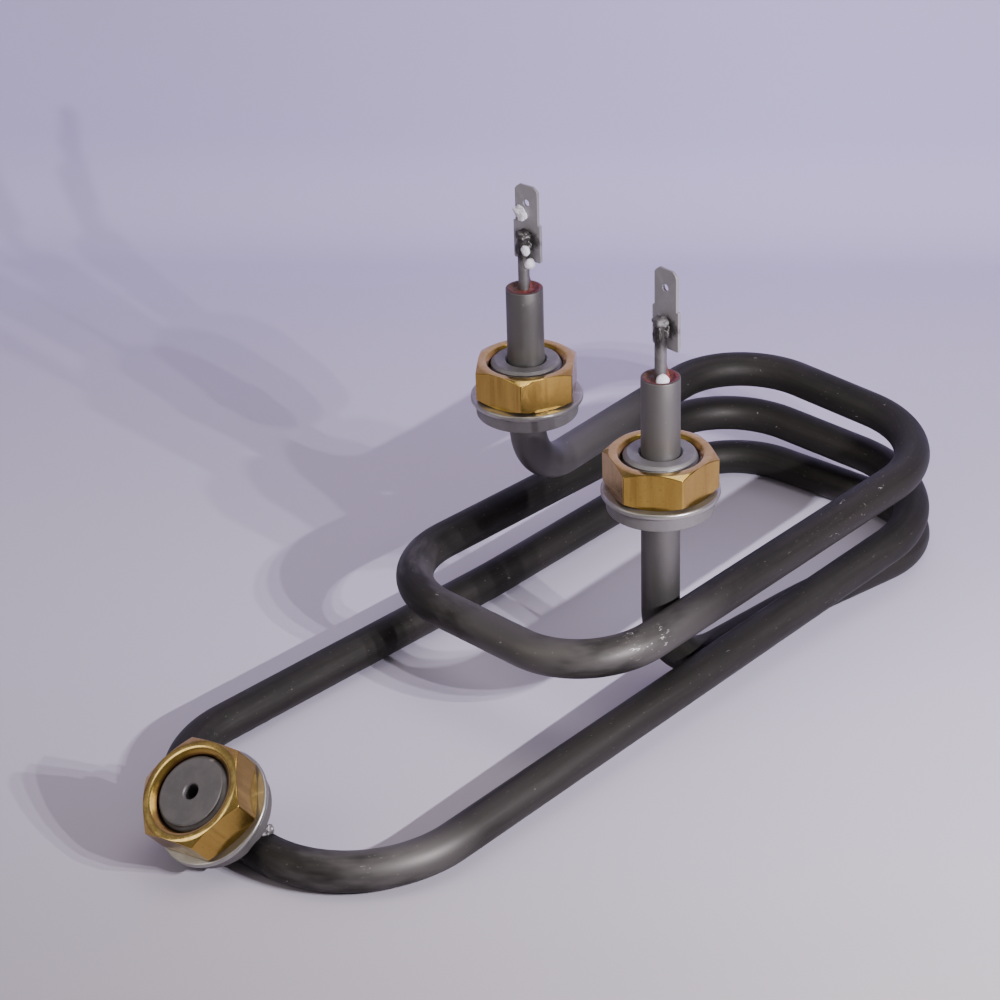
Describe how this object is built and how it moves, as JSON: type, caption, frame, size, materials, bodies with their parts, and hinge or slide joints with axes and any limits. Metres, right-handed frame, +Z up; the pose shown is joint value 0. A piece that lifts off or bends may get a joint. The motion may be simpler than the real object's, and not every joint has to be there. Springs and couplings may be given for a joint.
{
  "type": "water urn heating element",
  "caption": "Bent sheathed heating element with a long and a short loop, threaded terminal studs with brass nuts, spade tabs and a sensor stud.",
  "frame": {"origin": "on the surface that the element lies on, below the middle of its bounding box", "axes": "+X along the loops, from the sensor stud towards the stacked turns; +Y across the loops, from the front terminal's side to the rear terminal's side; +Z up along the terminal legs"},
  "size_m": [0.223, 0.0802, 0.1034],
  "materials": {
    "sheath": "stainless tube annealed to a satin black, bead-blasted pale grey near the terminals",
    "magnesia": "pressed powder",
    "heating_wire": "drawn wire",
    "terminal_steel": "nickel-plated steel, dull",
    "weld_metal": "cast weld metal, part scorched",
    "resin": "cast resin",
    "stud_steel": "bead-blasted stainless steel",
    "plated_steel": "bright plating",
    "nut_brass": "turned and milled brass"
  },
  "bodies": {
    "root": {"sheath_tube": "sheath", "magnesia_fill": "magnesia", "resistance_coil": "heating_wire", "terminal_pin_rear": "terminal_steel", "resin_seal_rear": "resin", "spade_tab_rear": "terminal_steel", "tab_weld_rear": "weld_metal", "flanged_stud_rear": "stud_steel", "braze_ring_rear": "weld_metal", "washer_rear": "plated_steel", "hex_nut_rear": "nut_brass", "terminal_pin_front": "terminal_steel", "resin_seal_front": "resin", "spade_tab_front": "terminal_steel", "tab_weld_front": "weld_metal", "flanged_stud_front": "stud_steel", "braze_ring_front": "weld_metal", "washer_front": "plated_steel", "hex_nut_front": "nut_brass", "sensor_stud": "stud_steel", "sensor_weld": "weld_metal", "washer_sensor": "plated_steel", "hex_nut_sensor": "nut_brass"}
  },
  "joints": []
}
